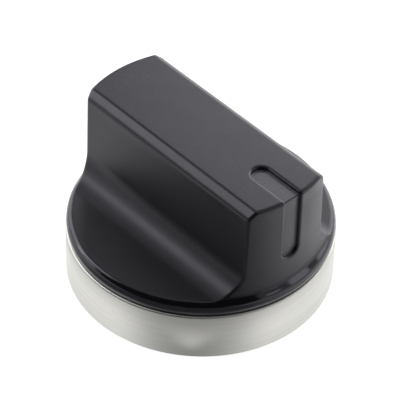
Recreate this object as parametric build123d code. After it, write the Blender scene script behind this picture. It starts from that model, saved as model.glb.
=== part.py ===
from build123d import *
import math
import os

# Stove knob: a moulded black finger-bar knob with a brushed steel band round its skirt.
# The origin is the centre of the face that meets the cooker, Z points away from the cooker
# and the pointer end of the bar looks along minus Y. All sizes are in millimetres.

# Steel band
ring_diameter = 50.0
ring_height = 9.9
ring_wall = 0.55
ring_top_bevel = 0.35
ring_fit = 0.05

# Bead round the rim, and the floor of the scoops
bead_inset = 0.15
bead_radius = 2.4
bead_seat = 0.1
floor_height = 12.9

# Finger bar
knob_height = 32.15
bar_end_inset = 1.4
bar_end_draft = 0.3
bar_foot_fillet = 2.2
bar_top_width = 15.1
bevel_width = 1.55
bevel_height = 1.4
bevel_top_round = 0.8
bevel_foot_round = 1.5
side_draft = 1.3
scoop_radius = 5.5
edge_round = 0.65

# Pointer slot over the front end of the bar
slot_width = 3.6
slot_depth = 0.75
slot_top_length = 10.25
slot_front_length = 13.95
slot_edge_round = 0.5

# Walls behind the show faces
skirt_wall = 1.8
skirt_recess = 0.5
floor_wall = 2.2
bar_wall = 2.2
bar_top_wall = 2.4

# Hub with a D-shaped socket, and the ribs that hold it
hub_diameter = 15.0
hub_recess = 1.0
spindle_diameter = 8.0
spindle_across_flat = 6.5
socket_clearance = 0.1
socket_depth = 17.0
lead_in_depth = 4.0
lead_in_clearance = 0.3
rib_wall = 1.3
rib_recess = 6.0
rib_count = 4

# Spring clip round the split mouth of the hub
spring_wall = 0.7
spring_width = 3.5
spring_offset = 0.8
spring_fit = 0.05
spring_gap_angle = 70.0
spring_lip = 2.2
split_width = 1.4
split_depth = 8.0

# Sizes that follow from the ones above
ring_radius = ring_diameter / 2
ring_inner_radius = ring_radius - ring_wall
skirt_radius = ring_inner_radius - ring_fit
bar_end_radius = ring_radius - bar_end_inset
ceiling_height = floor_height - floor_wall
pocket_height = knob_height - slot_depth - bar_top_wall
bar_half_top = bar_top_width / 2
bar_half_side = bar_half_top + bevel_width
bevel_foot = knob_height - bevel_height
hub_radius = hub_diameter / 2
spindle_radius = spindle_diameter / 2
spring_foot = hub_recess + spring_offset
spring_inner_radius = hub_radius - spring_wall + spring_fit

# A length that reaches past the whole knob, and the way that upright pieces stand
reach = 2 * (ring_diameter + knob_height)
standing = (Align.CENTER, Align.CENTER, Align.MIN)


def drafted(size, drop, angle):
    """What a drafted wall's size has grown to, this far down from its top edge."""
    return size + drop * math.tan(math.radians(angle))


def corner_at(section, across, up):
    """The corner of a sketched section that lies nearest to this place."""
    return section.vertices().sort_by_distance((across, up))[0]


def tube(outer_radius, inner_radius, height):
    return Cylinder(outer_radius, height, align=standing) - Cylinder(inner_radius, height, align=standing)


def turned_blank():
    """The skirt, bead and bar ends as one turned form, before the scoops are cut."""
    bead_crown_radius = ring_radius - bead_inset
    bead_centre_radius = bead_crown_radius - bead_radius
    shoulder_radius = ring_inner_radius + bead_seat
    bead_centre_height = ring_height + math.sqrt(bead_radius**2 - (shoulder_radius - bead_centre_radius) ** 2)
    foot_height = bead_centre_height + math.sqrt(bead_radius**2 - (bar_end_radius - bead_centre_radius) ** 2)
    top_radius = drafted(bar_end_radius, foot_height - knob_height, bar_end_draft)
    with BuildPart() as blank:
        with BuildSketch(Plane.XZ) as section:
            with BuildLine():
                Polyline(
                    (0, skirt_recess),
                    (skirt_radius, skirt_recess),
                    (skirt_radius, ring_height),
                    (shoulder_radius, ring_height),
                )
                ThreePointArc(
                    (shoulder_radius, ring_height),
                    (bead_crown_radius, bead_centre_height),
                    (bar_end_radius, foot_height),
                )
                Polyline(
                    (bar_end_radius, foot_height),
                    (top_radius, knob_height),
                    (0, knob_height),
                    (0, skirt_recess),
                )
            make_face()
            fillet(corner_at(section, bar_end_radius, foot_height), bar_foot_fillet)
        revolve(axis=Axis.Z)
    return blank.part


def bar_envelope():
    """The bar's cross-section with its bevels and scoops, drawn out past both ends."""
    wall_foot = drafted(bar_half_side, bevel_foot - floor_height, side_draft)
    with BuildPart() as envelope:
        with BuildSketch(Plane.XZ) as section:
            with BuildLine():
                Polyline(
                    (0, 0),
                    (reach, 0),
                    (reach, floor_height),
                    (wall_foot, floor_height),
                    (bar_half_side, bevel_foot),
                    (bar_half_top, knob_height),
                    (0, knob_height),
                    close=True,
                )
            make_face()
            fillet(corner_at(section, wall_foot, floor_height), scoop_radius)
            fillet(corner_at(section, bar_half_side, bevel_foot), bevel_foot_round)
            fillet(corner_at(section, bar_half_top, knob_height), bevel_top_round)
            mirror(about=Plane.YZ)
        extrude(amount=reach, both=True)
    return envelope.part


def pointer_slot():
    """The round-ended slot that runs over the bar's top and down its front end."""
    half = slot_width / 2
    back_centre = slot_top_length - bar_end_radius - half
    low_centre = knob_height - slot_front_length + half
    with BuildPart() as top_run:
        with BuildSketch(Plane.XY.offset(knob_height - slot_depth)):
            with Locations((0, back_centre)):
                Circle(half)
                Rectangle(slot_width, reach, align=(Align.CENTER, Align.MAX))
        extrude(amount=reach)
    with BuildPart() as front_run:
        with BuildSketch(Plane.XZ):
            with Locations((0, low_centre)):
                Circle(half)
                Rectangle(slot_width, reach, align=(Align.CENTER, Align.MIN))
        extrude(amount=reach)
        Cylinder(bar_end_radius - slot_depth, 2 * reach, mode=Mode.SUBTRACT)
    return top_run.part + front_run.part


def show_form():
    """The moulding as a hand feels it: bar, scoops and slot, with every outer edge softened."""
    blank = turned_blank()
    envelope = bar_envelope()
    form = blank & envelope
    form = fillet(new_edges(blank, envelope, combined=form), edge_round)
    slot = pointer_slot()
    slotted = form - slot
    return fillet(new_edges(form, slot, combined=slotted), slot_edge_round)


def underside_hollow():
    """The space inside the skirt, and the pocket that cores out the bar."""
    pocket_foot = drafted(bar_half_side, bevel_foot - ceiling_height, side_draft) - bar_wall
    pocket_top = drafted(bar_half_side, bevel_foot - pocket_height, side_draft) - bar_wall
    with BuildPart() as pocket:
        with BuildSketch(Plane.XZ):
            with BuildLine():
                Polyline(
                    (-pocket_foot, ceiling_height),
                    (pocket_foot, ceiling_height),
                    (pocket_top, pocket_height),
                    (-pocket_top, pocket_height),
                    close=True,
                )
            make_face()
        extrude(amount=reach, both=True)
        Cylinder(bar_end_radius - bar_wall, 2 * reach, mode=Mode.INTERSECT)
    return Cylinder(skirt_radius - skirt_wall, ceiling_height, align=standing) + pocket.part


def hub_with_ribs():
    """The boss that takes the spindle, and the radial ribs that tie it to the skirt."""
    hub = Pos(0, 0, hub_recess) * Cylinder(hub_radius, pocket_height - hub_recess, align=standing)
    rib = Pos(0, 0, rib_recess) * Box(
        skirt_radius, rib_wall, pocket_height - rib_recess, align=(Align.MIN, Align.CENTER, Align.MIN)
    )
    for index in range(rib_count):
        hub += Rot(0, 0, 360 / rib_count * (index + 0.5)) * rib
    return hub


def spindle_socket():
    """What is cut from the hub: D-shaped socket, round lead-in, split mouth and spring seat."""
    flat_offset = spindle_across_flat - spindle_radius + socket_clearance
    socket_radius = spindle_radius + socket_clearance
    socket = Cylinder(socket_radius, hub_recess + socket_depth, align=standing)
    socket -= Pos(0, -flat_offset, 0) * Box(
        spindle_diameter + hub_diameter, hub_radius, reach, align=(Align.CENTER, Align.MAX, Align.MIN)
    )
    lead_in = Cylinder(spindle_radius + lead_in_clearance, hub_recess + lead_in_depth, align=standing)
    split = Box(split_width, hub_diameter, hub_recess + split_depth, align=standing)
    seat = Pos(0, 0, spring_foot) * tube(hub_radius, hub_radius - spring_wall, spring_width)
    return socket + lead_in + split + seat


def knob_body():
    """One black moulding: bar, bead, skirt, hub and ribs."""
    form = show_form()
    shell = form - underside_hollow()
    return shell + (hub_with_ribs() & form) - spindle_socket()


def trim_ring():
    """A plain band of brushed steel with its top edge bevelled, pushed up to the bead."""
    band = tube(ring_radius, ring_inner_radius, ring_height)
    top_edge = band.edges().group_by(Axis.Z)[-1].sort_by(SortBy.RADIUS)[-1]
    return chamfer(top_edge, ring_top_bevel)


def spindle_spring():
    """An open ring of spring strip that squeezes the split mouth, with its ends turned out."""
    half_gap = spring_gap_angle / 2
    with BuildPart() as strip:
        with BuildSketch(Plane.XY.offset(spring_foot)):
            Circle(spring_inner_radius + spring_wall)
            Circle(spring_inner_radius, mode=Mode.SUBTRACT)
            with BuildLine():
                Polyline((0, 0), polar(reach, half_gap - 90), polar(reach, -half_gap - 90), close=True)
            make_face(mode=Mode.SUBTRACT)
            with Locations(polar(spring_inner_radius, half_gap - 90)):
                Rectangle(spring_wall, spring_lip, rotation=half_gap, align=(Align.MIN, Align.MAX))
            with Locations(polar(spring_inner_radius, -half_gap - 90)):
                Rectangle(spring_wall, spring_lip, rotation=-half_gap, align=(Align.MAX, Align.MAX))
        extrude(amount=spring_width)
    return strip.part


os.makedirs("parts", exist_ok=True)
export_step(knob_body(), "parts/knob_body.step")
export_step(trim_ring(), "parts/trim_ring.step")
export_step(spindle_spring(), "parts/spindle_spring.step")
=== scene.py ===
import bpy
import math
from mathutils import Matrix, Vector


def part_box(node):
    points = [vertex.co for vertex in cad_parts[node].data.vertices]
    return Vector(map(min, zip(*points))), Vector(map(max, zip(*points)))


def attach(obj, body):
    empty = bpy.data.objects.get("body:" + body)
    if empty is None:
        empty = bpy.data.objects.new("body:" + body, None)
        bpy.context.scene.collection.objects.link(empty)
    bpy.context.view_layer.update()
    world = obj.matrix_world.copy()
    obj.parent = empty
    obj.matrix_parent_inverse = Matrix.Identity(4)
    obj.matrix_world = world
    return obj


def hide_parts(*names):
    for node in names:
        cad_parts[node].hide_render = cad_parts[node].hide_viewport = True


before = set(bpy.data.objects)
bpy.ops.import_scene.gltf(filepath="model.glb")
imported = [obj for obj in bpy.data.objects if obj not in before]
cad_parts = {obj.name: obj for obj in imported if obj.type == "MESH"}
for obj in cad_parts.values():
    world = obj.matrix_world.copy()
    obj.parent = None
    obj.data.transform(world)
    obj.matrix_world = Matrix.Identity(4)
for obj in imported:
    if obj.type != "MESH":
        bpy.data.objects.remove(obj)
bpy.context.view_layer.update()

# A stove knob on a pale floor. Sizes on the knob and of the camera are in millimetres, sizes on the
# stage in metres. Angles are in degrees, and azimuths are measured from +X.
MM = 0.001
BODY = "root"
WHITE = (1, 1, 1, 1)

# Sizes taken from the parts in model.glb
KNOB_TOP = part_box("knob_body")[1].z / MM
BAND_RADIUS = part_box("trim_ring")[1].x / MM
BAND_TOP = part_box("trim_ring")[1].z / MM

# Camera, as the photograph was taken, with its focal length and centre in pixels
IMAGE_SIZE = 400
VIEW_AZIMUTH = -133.05
VIEW_ELEVATION = 42.30
VIEW_ROLL = 1.79
VIEW_DISTANCE = 455.3
VIEW_HEIGHT = 15.0
FOCAL_PIXELS = 2484.5
CENTRE_X = 201.65
CENTRE_Y = 201.63
SENSOR_WIDTH = 36.0
CLIP_START = 10.0

# Surroundings: an even pale world, a pale floor and a dark card behind the camera
WORLD_LIGHT = 0.40
FLOOR_SIZE = 6.0
FLOOR_SHADE = 0.40
FLOOR_WHITE = 0.9
DARK_SHADE = 0.01
DARK_AZIMUTH = 210
DARK_DISTANCE = 0.62
DARK_WIDTH = 2.4
DARK_HEIGHT = 1.6

# Soft boxes round the knob: azimuth, elevation, width, height and radiance
LAMP_DISTANCE = 0.7
LAMPS = {
    "softbox_left": (98, 21, 0.80, 0.54, 1.7),
    "window_left": (131, 12, 0.26, 0.27, 1.2),
    "window_high": (136, 39, 0.30, 0.27, 1.85),
    "window_right": (-52, 9.5, 0.22, 0.28, 1.4),
    "window_front": (-76, 14, 0.14, 0.15, 1.0),
    "softbox_right": (-20, 8, 0.30, 0.28, 1.5),
    "softbox_back": (17, 24, 0.74, 0.62, 2.2),
}

# Painted pools of light on the floor, as the knob mirrors them: the azimuth towards which a pool lies,
# how far along it the pool begins and is full, its share beside the knob, and its level near and far
FLOOR_POOLS = (
    (-27, 0.006, 0.040, 0.40, 1.40, 0.62),
    (95, 0.014, 0.052, 0.30, 1.00, 0.62),
    (47, 0.0, 0.030, 0.90, 1.00, 0.60),
)

# Distances from the axis at which every pool starts, has its near and far level, fades and ends
POOL_START = 0.035
POOL_NEAR = 0.043
POOL_FAR = 0.058
POOL_FADE = 0.20
POOL_END = 0.50
POOL_END_SHARE = 0.2

# Painted light on the floor close to the knob: where it gives way to the pools, and its share at the
# foot
CLOSE_FULL = 0.030
CLOSE_END = 0.0385
FOOT_RADIUS = 0.026
FOOT_SHARE = 0.88

# In front of the knob that light is a wedge whose dim edge is painted shade, which the band mirrors as
# a V.
# How far a place lies inside the wedge's edge says where the side light, the edge and the front light
# are.
WEDGE_AZIMUTH = -136
WEDGE_HALF_ANGLE = 59
WEDGE_TIP = 0.0235
SIDE_FULL = -0.0105
EDGE_DIM = 0.002
FRONT_FULL = 0.005
SIDE_LIGHT = 0.90
EDGE_LIGHT = 0.26
FRONT_LIGHT = 1.0

# The front light fades and ends at these distances from the axis. Behind the knob, counted along the
# wedge's azimuth, all light close by drops to a share.
FRONT_FADE = 0.026
FRONT_END = 0.0325
BACK_BEGIN = -0.004
BACK_FULL = -0.022
BACK_SHARE = 0.3

# Steel band
RING_TOP_ROUND = 0.40
RING_LIP_ROUND = 0.08
RING_FOOT_ROUND = 0.14
RING_WALL = 0.55
RING_TURNS = 256
ROUND_STEPS = 6

# Shading of the solids: what counts as a real edge, and how far apart their welded points may lie
CREASE_ANGLE = 32
WELD_DISTANCE = 0.001
NORMAL_WEIGHT = 100

# Tints and gloss of the black plastic
BLACK_DARK = (0.0098, 0.0095, 0.0121)
BLACK_LIGHT = (0.0147, 0.0143, 0.0177)
SLOT_TINT = (0.068, 0.066, 0.077)
# The bevels' lighter tint is partly rubbed wear and partly a painted highlight
WEAR_AND_HIGHLIGHT_TINT = (0.020, 0.0175, 0.0195)
SHEEN_TINT = (0.90, 0.88, 1.0, 1)
PLASTIC_IOR = 1.58
SIDE_ROUGHNESS = 0.37
TOP_ROUGHNESS = 0.28
PLASTIC_SPREAD = 0.015
BEAD_POLISH = 0.28

# Its clouds and grain, in waves to the metre, and the round that its shader gives to sharp folds
CLOUD_SCALE = 220.0
CLOUD_DETAIL = 3.0
GRAIN_SCALE = 3200.0
GRAIN_STRENGTH = 0.12
GRAIN_DEPTH = 0.02
FOLD_ROUND = 0.5
FOLD_SAMPLES = 8

# Where the bead's polish begins and is full inside the band's radius, and where it ends above the band
BEAD_BEGIN = 1.5
BEAD_FULL = 1.1
BEAD_FADE = 2.9
BEAD_END = 3.3

# Bar end and pointer slot, as in the solid, and how close to the slot's floor counts as on it
BAR_END_INSET = 1.4
SLOT_HALF_WIDTH = 1.8
SLOT_DEPTH = 0.75
SLOT_TOP_LENGTH = 10.25
SLOT_FRONT_LENGTH = 13.95
SLOT_SKIN = 0.04

# The bevel strip, rubbed and carrying a painted highlight, from the middle of the bar, and its foot
# below the knob's top
BEVEL_STRIP_BEGIN = 7.35
BEVEL_STRIP_FULL = 7.75
BEVEL_STRIP_FADE = 8.9
BEVEL_STRIP_END = 9.2
BEVEL_STRIP_FOOT = 1.45
BEVEL_STRIP_ABOVE = 1.15

# Between these depths below the knob's top, the sides' roughness becomes the top's
SIDES_END = 3.55
TOP_BEGIN = 1.95

# The two steels: light tint, dark tint, strength of the streaks and roughness
STEELS = {
    "steel_band": ((0.81, 0.805, 0.77), (0.70, 0.695, 0.66), 0.06, 0.38),
    "spring_steel": ((0.45, 0.46, 0.50), (0.36, 0.37, 0.40), 0.05, 0.35),
}

# Their streaks, in waves to the metre along X, Y and Z
FINE_STREAKS = (60, 60, 9000)
BROAD_STREAKS = (40, 40, 900)
FINE_DETAIL = 3.0
FINE_ROUGHNESS = 0.6
FINE_SHARE = 0.6
STEEL_SPREAD = 0.04
STREAK_DEPTH = 0.01
ANISOTROPY = 0.9

# The span that most of a noise's values lie in
NOISE_LOW = 0.3
NOISE_HIGH = 0.7

# Which sockets of a Mix node hold its two colours and its result
MIX_FIRST = 6
MIX_SECOND = 7
MIX_RESULT = 2


def ramp(tree, value, low, high, out_low, out_high):
    """A smooth step of one value from out_low at low to out_high at high."""
    node = tree.nodes.new("ShaderNodeMapRange")
    node.interpolation_type = "SMOOTHSTEP"
    tree.links.new(value, node.inputs["Value"])
    node.inputs["From Min"].default_value = low
    node.inputs["From Max"].default_value = high
    node.inputs["To Min"].default_value = out_low
    node.inputs["To Max"].default_value = out_high
    return node.outputs["Result"]


def math_node(tree, operation, *values):
    """One sum on numbers or other nodes' outputs."""
    node = tree.nodes.new("ShaderNodeMath")
    node.operation = operation
    for socket, value in zip(node.inputs, values):
        if isinstance(value, (int, float)):
            socket.default_value = value
        else:
            tree.links.new(value, socket)
    return node.outputs["Value"]


def in_turn(tree, operation, values):
    """Several values brought together by one operation, two at a time."""
    result = values[0]
    for value in values[1:]:
        result = math_node(tree, operation, result, value)
    return result


def product(tree, *values):
    return in_turn(tree, "MULTIPLY", values)


def total(tree, *values):
    return in_turn(tree, "ADD", values)


def largest(tree, *values):
    return in_turn(tree, "MAXIMUM", values)


def noise(tree, place, scale, detail=2.0, roughness=0.5):
    node = tree.nodes.new("ShaderNodeTexNoise")
    tree.links.new(place, node.inputs["Vector"])
    node.inputs["Scale"].default_value = scale
    node.inputs["Detail"].default_value = detail
    node.inputs["Roughness"].default_value = roughness
    return node.outputs["Fac"]


def stretched(tree, place, scale):
    node = tree.nodes.new("ShaderNodeMapping")
    tree.links.new(place, node.inputs["Vector"])
    node.inputs["Scale"].default_value = scale
    return node.outputs["Vector"]


def split(tree, vector):
    """The X, Y and Z of a vector."""
    node = tree.nodes.new("ShaderNodeSeparateXYZ")
    tree.links.new(vector, node.inputs["Vector"])
    return node.outputs


def mixed(tree, share, first, second):
    """A colour between two others, which are colours or other nodes' outputs."""
    node = tree.nodes.new("ShaderNodeMix")
    node.data_type = "RGBA"
    tree.links.new(share, node.inputs["Factor"])
    for index, value in ((MIX_FIRST, first), (MIX_SECOND, second)):
        if isinstance(value, tuple):
            node.inputs[index].default_value = (*value, 1)
        else:
            tree.links.new(value, node.inputs[index])
    return node.outputs[MIX_RESULT]


def softened(tree, radius):
    """The surface's normal, rounded over at sharp folds."""
    node = tree.nodes.new("ShaderNodeBevel")
    node.samples = FOLD_SAMPLES
    node.inputs["Radius"].default_value = radius
    return node.outputs["Normal"]


def bumped(tree, height, strength, depth, normal=None):
    node = tree.nodes.new("ShaderNodeBump")
    node.inputs["Strength"].default_value = strength
    node.inputs["Distance"].default_value = depth
    tree.links.new(height, node.inputs["Height"])
    if normal is not None:
        tree.links.new(normal, node.inputs["Normal"])
    return node.outputs["Normal"]


def new_material(name):
    """A material and the sockets of its principled shader."""
    material = bpy.data.materials.new(name)
    material.use_nodes = True
    return material, material.node_tree.nodes["Principled BSDF"].inputs


def place_on(tree):
    """Where a point of the surface lies in its object's own space."""
    return tree.nodes.new("ShaderNodeTexCoord").outputs["Object"]


def place_in_mm(tree, place):
    """X, Y and Z in millimetres, and the distance from the knob's axis."""
    x, y, z = split(tree, stretched(tree, place, (1 / MM, 1 / MM, 1 / MM)))
    squares = total(tree, product(tree, x, x), product(tree, y, y))
    return x, y, z, math_node(tree, "SQRT", squares)


def near(tree, value, centre, reach):
    """One where a value lies within reach of a centre, falling to nothing just outside."""
    off = math_node(tree, "ABSOLUTE", math_node(tree, "SUBTRACT", value, centre))
    return ramp(tree, off, reach, reach + SLOT_SKIN, 1, 0)


def bead_mask(tree, z, radius):
    """One on the glossy bead round the rim."""
    outside = ramp(tree, radius, BAND_RADIUS - BEAD_BEGIN, BAND_RADIUS - BEAD_FULL, 0, 1)
    below = ramp(tree, z, BAND_TOP + BEAD_FADE, BAND_TOP + BEAD_END, 1, 0)
    return product(tree, outside, below)


def slot_floor_mask(tree, x, y, z, radius):
    """One on the pointer slot's floor, over the bar's top and down its front end."""
    bar_end = BAND_RADIUS - BAR_END_INSET
    back = SLOT_TOP_LENGTH - bar_end
    foot = KNOB_TOP - SLOT_FRONT_LENGTH
    between_walls = near(tree, x, 0, SLOT_HALF_WIDTH)
    ahead = ramp(tree, y, back, back + SLOT_SKIN, 1, 0)
    above_foot = ramp(tree, z, foot, foot + SLOT_SKIN, 0, 1)
    top_floor = near(tree, z, KNOB_TOP - SLOT_DEPTH, SLOT_SKIN)
    front_floor = product(tree, above_foot, near(tree, radius, bar_end - SLOT_DEPTH, SLOT_SKIN))
    return product(tree, between_walls, ahead, largest(tree, top_floor, front_floor))


def wear_and_highlight_mask(tree, x, z):
    """One along the two bevels of the bar, where they are rubbed and carry a painted highlight."""
    across = math_node(tree, "ABSOLUTE", x)
    return product(
        tree,
        ramp(tree, across, BEVEL_STRIP_BEGIN, BEVEL_STRIP_FULL, 0, 1),
        ramp(tree, across, BEVEL_STRIP_FADE, BEVEL_STRIP_END, 1, 0),
        ramp(tree, z, KNOB_TOP - BEVEL_STRIP_FOOT, KNOB_TOP - BEVEL_STRIP_ABOVE, 0, 1),
    )


def black_plastic():
    """Satin black moulding with a fine grain, a glossy bead, a lighter slot, and bevels that are rubbed
    and carry a painted highlight.
    """
    material, inputs = new_material("black_plastic")
    tree = material.node_tree
    place = place_on(tree)
    x, y, z, radius = place_in_mm(tree, place)
    cloud = noise(tree, place, CLOUD_SCALE, CLOUD_DETAIL)
    tint = mixed(tree, cloud, BLACK_DARK, BLACK_LIGHT)
    tint = mixed(tree, slot_floor_mask(tree, x, y, z, radius), tint, SLOT_TINT)
    # The bevels' lighter tint is partly rubbed wear and partly a painted highlight
    tint = mixed(tree, wear_and_highlight_mask(tree, x, z), tint, WEAR_AND_HIGHLIGHT_TINT)
    tree.links.new(tint, inputs["Base Color"])
    spread = ramp(tree, cloud, NOISE_LOW, NOISE_HIGH, -PLASTIC_SPREAD, PLASTIC_SPREAD)
    level = ramp(tree, z, KNOB_TOP - SIDES_END, KNOB_TOP - TOP_BEGIN, SIDE_ROUGHNESS, TOP_ROUGHNESS)
    polish = ramp(tree, bead_mask(tree, z, radius), 0, 1, 1, BEAD_POLISH)
    tree.links.new(product(tree, total(tree, spread, level), polish), inputs["Roughness"])
    grain = noise(tree, place, GRAIN_SCALE)
    relief = bumped(tree, grain, GRAIN_STRENGTH, GRAIN_DEPTH * MM, softened(tree, FOLD_ROUND * MM))
    tree.links.new(relief, inputs["Normal"])
    inputs["IOR"].default_value = PLASTIC_IOR
    inputs["Specular Tint"].default_value = SHEEN_TINT
    return material


def brushed_steel(name):
    """Steel brushed round the knob's axis: long fine streaks in tint, roughness and relief."""
    light, dark, strength, roughness = STEELS[name]
    material, inputs = new_material(name)
    tree = material.node_tree
    place = place_on(tree)
    fine = noise(tree, stretched(tree, place, FINE_STREAKS), 1, FINE_DETAIL, FINE_ROUGHNESS)
    broad = noise(tree, stretched(tree, place, BROAD_STREAKS), 1)
    streaks = total(tree, product(tree, fine, FINE_SHARE), product(tree, broad, 1 - FINE_SHARE))
    tint = mixed(tree, ramp(tree, streaks, NOISE_LOW, NOISE_HIGH, 0, 1), dark, light)
    tree.links.new(tint, inputs["Base Color"])
    smoothest = roughness - STEEL_SPREAD
    roughest = roughness + STEEL_SPREAD
    tree.links.new(ramp(tree, streaks, NOISE_LOW, NOISE_HIGH, smoothest, roughest), inputs["Roughness"])
    tree.links.new(bumped(tree, fine, strength, STREAK_DEPTH * MM), inputs["Normal"])
    inputs["Metallic"].default_value = 1
    inputs["Anisotropic"].default_value = ANISOTROPY
    tangent = tree.nodes.new("ShaderNodeTangent")
    tangent.direction_type = "RADIAL"
    tangent.axis = "Z"
    tree.links.new(tangent.outputs["Tangent"], inputs["Tangent"])
    return material


def weigh_normals(piece):
    """Lets large faces set the shading of the rounds beside them."""
    weighted = piece.modifiers.new("weighted_normals", "WEIGHTED_NORMAL")
    weighted.weight = NORMAL_WEIGHT
    return weighted


def smooth_solid(node):
    """Shades a solid as the smooth faces it was drawn with, sharp only at its real edges."""
    group = bpy.data.node_groups.new(node.name + "_shading", "GeometryNodeTree")
    group.interface.new_socket("Geometry", in_out="INPUT", socket_type="NodeSocketGeometry")
    group.interface.new_socket("Geometry", in_out="OUTPUT", socket_type="NodeSocketGeometry")
    start = group.nodes.new("NodeGroupInput")
    weld = group.nodes.new("GeometryNodeMergeByDistance")
    weld.inputs["Distance"].default_value = WELD_DISTANCE * MM
    faces = group.nodes.new("GeometryNodeSetShadeSmooth")
    creases = group.nodes.new("GeometryNodeSetShadeSmooth")
    creases.domain = "EDGE"
    creases.inputs["Shade Smooth"].default_value = False
    angle = group.nodes.new("GeometryNodeInputMeshEdgeAngle")
    sharp = group.nodes.new("FunctionNodeCompare")
    sharp.operation = "GREATER_THAN"
    sharp.inputs["B"].default_value = math.radians(CREASE_ANGLE)
    end = group.nodes.new("NodeGroupOutput")
    group.links.new(start.outputs[0], weld.inputs["Geometry"])
    group.links.new(weld.outputs["Geometry"], faces.inputs["Geometry"])
    group.links.new(faces.outputs["Geometry"], creases.inputs["Geometry"])
    group.links.new(angle.outputs["Unsigned Angle"], sharp.inputs["A"])
    group.links.new(sharp.outputs["Result"], creases.inputs["Selection"])
    group.links.new(creases.outputs["Geometry"], end.inputs[0])
    modifier = node.modifiers.new("shading", "NODES")
    modifier.node_group = group
    weigh_normals(node).keep_sharp = True


def add_object(name, data):
    thing = bpy.data.objects.new(name, data)
    bpy.context.scene.collection.objects.link(thing)
    return thing


def rounded(corner, before, after, radius):
    """Points along a round between two runs that meet at a right-angled corner."""
    corner = Vector(corner)
    back = (Vector(before) - corner).normalized() * radius
    on = (Vector(after) - corner).normalized() * radius
    centre = corner + back + on
    points = []
    for step in range(ROUND_STEPS + 1):
        turn = math.pi / 2 * step / ROUND_STEPS
        points.append(centre - on * math.cos(turn) - back * math.sin(turn))
    return points


def turned(name, section, turns):
    """A closed ring made by turning a section of (radius, height) points round Z."""
    count = len(section)
    points = []
    faces = []
    for turn in range(turns):
        angle = 2 * math.pi * turn / turns
        for radius, height in section:
            points.append((radius * math.cos(angle), radius * math.sin(angle), height))
        here = turn * count
        there = (turn + 1) % turns * count
        for index in range(count):
            after = (index + 1) % count
            faces.append((here + index, there + index, there + after, here + after))
    mesh = bpy.data.meshes.new(name)
    mesh.from_pydata(points, [], faces)
    mesh.validate()
    mesh.polygons.foreach_set("use_smooth", [True] * len(mesh.polygons))
    return add_object(name, mesh)


def steel_band():
    """The trim band with its edges rounded over, in place of the plain bevelled one."""
    low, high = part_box("trim_ring")
    outer = high.x
    inner = outer - RING_WALL * MM
    foot_outer = (outer, low.z)
    top_outer = (outer, high.z)
    top_inner = (inner, high.z)
    foot_inner = (inner, low.z)
    section = []
    section += rounded(foot_outer, foot_inner, top_outer, RING_FOOT_ROUND * MM)
    section += rounded(top_outer, foot_outer, top_inner, RING_TOP_ROUND * MM)
    section += rounded(top_inner, top_outer, foot_inner, RING_LIP_ROUND * MM)
    section += rounded(foot_inner, top_inner, foot_outer, RING_FOOT_ROUND * MM)
    band = turned("trim_ring_band", section, RING_TURNS)
    weigh_normals(band)
    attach(band, BODY)
    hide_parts("trim_ring")
    return band


def dress(piece, material):
    piece.data.materials.clear()
    piece.data.materials.append(material)


def direction(azimuth, elevation):
    """The way from the knob to a place at this azimuth and elevation."""
    around = math.radians(azimuth)
    above = math.radians(elevation)
    level = math.cos(above)
    return Vector((math.cos(around) * level, math.sin(around) * level, math.sin(above)))


def facing(way, distance):
    """The transform of a card or lamp that stands this far off and faces the knob."""
    turn = way.to_track_quat("Z", "Y").to_matrix().to_4x4()
    return Matrix.Translation(way * distance) @ turn


def add_softbox(name, azimuth, elevation, width, height, radiance):
    lamp = bpy.data.lights.new(name, "AREA")
    lamp.shape = "RECTANGLE"
    lamp.size = width
    lamp.size_y = height
    lamp.energy = radiance * width * height * math.pi
    box = add_object(name, lamp)
    box.matrix_world = facing(direction(azimuth, elevation), LAMP_DISTANCE)
    box.visible_camera = False


def add_card(name, width, depth, matrix, material):
    """A flat oblong stage card."""
    right = width / 2
    far = depth / 2
    corners = [(-right, -far, 0), (right, -far, 0), (right, far, 0), (-right, far, 0)]
    mesh = bpy.data.meshes.new(name)
    mesh.from_pydata(corners, [], [(0, 1, 2, 3)])
    mesh.materials.append(material)
    card = add_object(name, mesh)
    card.matrix_world = matrix
    return card


def along(tree, place, azimuth):
    """A place turned so that its X is along this azimuth and its Y to the left of it."""
    node = tree.nodes.new("ShaderNodeMapping")
    node.inputs["Rotation"].default_value = (0, 0, -math.radians(azimuth))
    tree.links.new(place, node.inputs["Vector"])
    return split(tree, node.outputs["Vector"])


def pool_light(tree, place, distance):
    """The floor's painted pools of light, away from the knob."""
    pools = []
    for azimuth, begin, full, start_share, near_level, far_level in FLOOR_POOLS:
        pool = product(
            tree,
            ramp(tree, along(tree, place, azimuth)["X"], begin, full, 0, 1),
            ramp(tree, distance, POOL_START, POOL_NEAR, start_share, 1),
            ramp(tree, distance, POOL_NEAR, POOL_FAR, near_level, far_level),
        )
        pools.append(pool)
    fade = ramp(tree, distance, POOL_FADE, POOL_END, 1, POOL_END_SHARE)
    outside = ramp(tree, distance, CLOSE_FULL, CLOSE_END, 0, 1)
    return product(tree, largest(tree, *pools), fade, outside)


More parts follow.
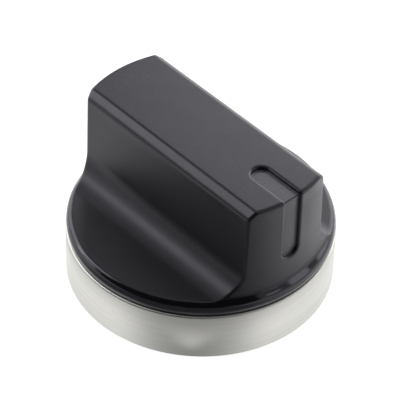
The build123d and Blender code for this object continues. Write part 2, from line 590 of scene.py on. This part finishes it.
def close_light(tree, place, distance):
    """The painted light on the floor close to the knob: a wedge in front with a dim edge of painted
    shade, and light on both sides of it.
    """
    spot = along(tree, place, WEDGE_AZIMUTH)
    ahead = spot["X"]
    aside = spot["Y"]
    opening = math.radians(WEDGE_HALF_ANGLE)
    outward = product(tree, math_node(tree, "SUBTRACT", ahead, WEDGE_TIP), math.sin(opening))
    sideways = product(tree, math_node(tree, "ABSOLUTE", aside), math.cos(opening))
    inside = math_node(tree, "SUBTRACT", outward, sideways)
    side = ramp(tree, inside, SIDE_FULL, EDGE_DIM, SIDE_LIGHT, EDGE_LIGHT)
    front = product(
        tree,
        ramp(tree, inside, EDGE_DIM, FRONT_FULL, 0, FRONT_LIGHT - EDGE_LIGHT),
        ramp(tree, distance, FRONT_FADE, FRONT_END, 1, 0),
    )
    return product(
        tree,
        total(tree, side, front),
        ramp(tree, distance, FOOT_RADIUS, CLOSE_FULL, FOOT_SHARE, 1),
        ramp(tree, distance, CLOSE_FULL, CLOSE_END, 1, 0),
        ramp(tree, ahead, BACK_FULL, BACK_BEGIN, BACK_SHARE, 1),
    )


def matt(name, shade):
    """A plain grey material without gloss, and its shader's sockets."""
    material, inputs = new_material(name)
    inputs["Base Color"].default_value = (shade, shade, shade, 1)
    inputs["Roughness"].default_value = 1
    inputs["Specular IOR Level"].default_value = 0
    return material, inputs


def floor_material():
    """Pale floor that reads as white to the camera, keeps the shadow and shows painted light and shade
    to reflections.
    """
    material, inputs = matt("floor", FLOOR_SHADE)
    tree = material.node_tree
    place = place_on(tree)
    measure = tree.nodes.new("ShaderNodeVectorMath")
    measure.operation = "LENGTH"
    tree.links.new(place, measure.inputs[0])
    distance = measure.outputs["Value"]
    # Painted pools of light and painted shade on the floor, which only reflections see
    painted_glow = total(tree, pool_light(tree, place, distance), close_light(tree, place, distance))
    path = tree.nodes.new("ShaderNodeLightPath").outputs
    mirrored = largest(tree, path["Is Glossy Ray"], path["Is Transmission Ray"])
    glow = total(tree, product(tree, path["Is Camera Ray"], FLOOR_WHITE), product(tree, mirrored, painted_glow))
    inputs["Emission Color"].default_value = WHITE
    tree.links.new(glow, inputs["Emission Strength"])
    return material


def add_dark_card():
    """A dark card behind the camera, which keeps the knob's near faces dark."""
    material = matt("dark_card", DARK_SHADE)[0]
    raised = Matrix.Translation((0, 0, DARK_HEIGHT / 2))
    behind = raised @ facing(direction(DARK_AZIMUTH, 0), DARK_DISTANCE)
    card = add_card("dark_card", DARK_WIDTH, DARK_HEIGHT, behind, material)
    card.visible_camera = False


def add_stage():
    """The world, the floor, the dark card and the soft boxes."""
    scene = bpy.context.scene
    world = bpy.data.worlds.new("white_tent")
    world.use_nodes = True
    background = world.node_tree.nodes["Background"].inputs
    background["Color"].default_value = WHITE
    background["Strength"].default_value = WORLD_LIGHT
    scene.world = world
    add_card("floor", FLOOR_SIZE, FLOOR_SIZE, Matrix.Identity(4), floor_material())
    add_dark_card()
    for name, settings in LAMPS.items():
        add_softbox(name, *settings)
    scene.view_settings.view_transform = "Standard"


def add_camera():
    data = bpy.data.cameras.new("camera")
    data.sensor_width = SENSOR_WIDTH
    data.lens = FOCAL_PIXELS / IMAGE_SIZE * SENSOR_WIDTH
    data.shift_x = (IMAGE_SIZE / 2 - CENTRE_X) / IMAGE_SIZE
    data.shift_y = (CENTRE_Y - IMAGE_SIZE / 2) / IMAGE_SIZE
    data.clip_start = CLIP_START * MM
    camera = add_object("camera", data)
    way = direction(VIEW_AZIMUTH, VIEW_ELEVATION)
    stand = Vector((0, 0, VIEW_HEIGHT * MM)) + way * VIEW_DISTANCE * MM
    turn = (-way).to_track_quat("-Z", "Y").to_matrix().to_4x4()
    roll = Matrix.Rotation(math.radians(VIEW_ROLL), 4, "Z")
    camera.matrix_world = Matrix.Translation(stand) @ turn @ roll
    bpy.context.scene.camera = camera


def main():
    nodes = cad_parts
    smooth_solid(nodes["knob_body"])
    smooth_solid(nodes["spindle_spring"])
    dress(nodes["knob_body"], black_plastic())
    dress(steel_band(), brushed_steel("steel_band"))
    dress(nodes["spindle_spring"], brushed_steel("spring_steel"))
    add_stage()
    add_camera()


main()
